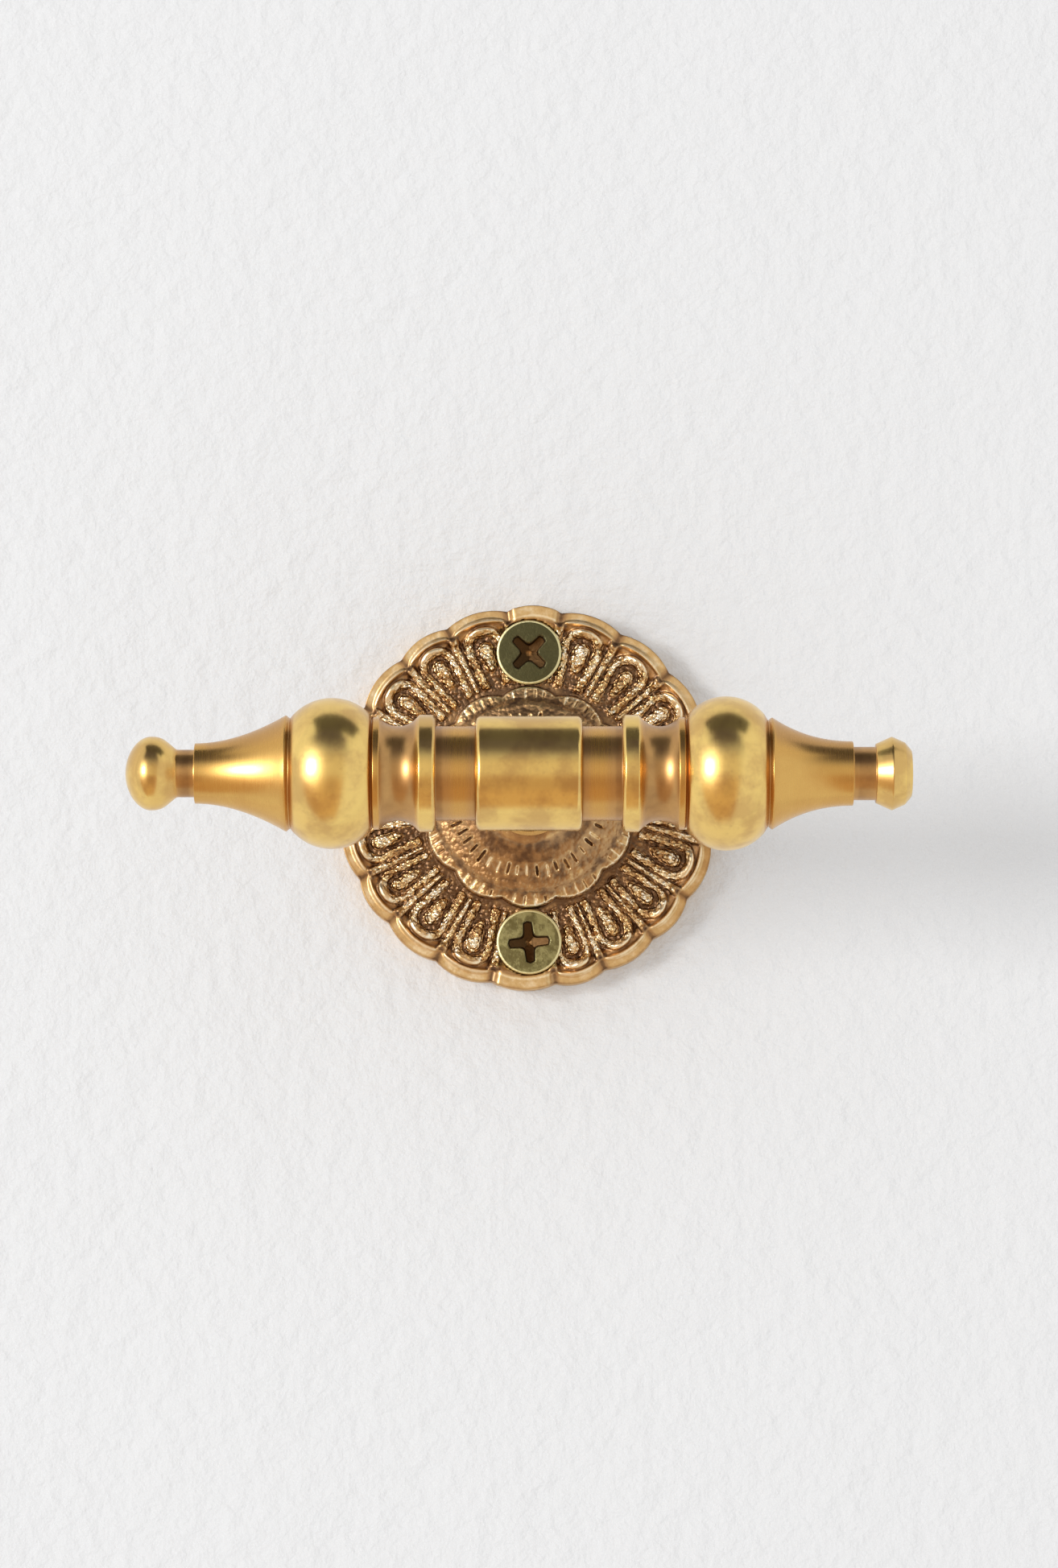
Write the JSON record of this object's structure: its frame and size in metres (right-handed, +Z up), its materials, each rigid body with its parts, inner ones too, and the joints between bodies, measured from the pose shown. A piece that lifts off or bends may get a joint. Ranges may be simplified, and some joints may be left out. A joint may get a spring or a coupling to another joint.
{
  "type": "bath hook",
  "caption": "Wall hook for towels or robes: a round cast rosette with scalloped edge, a post, and a turned crossbar with balls, trumpets and end knobs.",
  "frame": {"origin": "centre of the rosette's back rim, on the wall's surface", "axes": "+Z up, +X to the right as seen from in front of the wall, +Y into the wall; the hook reaches out along -Y"},
  "size_m": [0.0956, 0.0804, 0.05],
  "materials": {
    "rosette": "cast, darkened in its recesses and rubbed on its ridges",
    "post": "brushed",
    "arms": "turned and satin polished, browned in its grooves",
    "wall_screws": "yellow zinc plated",
    "inner_steel": "plain"
  },
  "bodies": {
    "root": {"rosette": "rosette", "post": "post", "left_arm": "arms", "right_arm": "arms", "tie_rod": "inner_steel", "wall_screws": "wall_screws", "post_screw": "inner_steel", "post_washer": "inner_steel"}
  },
  "joints": []
}
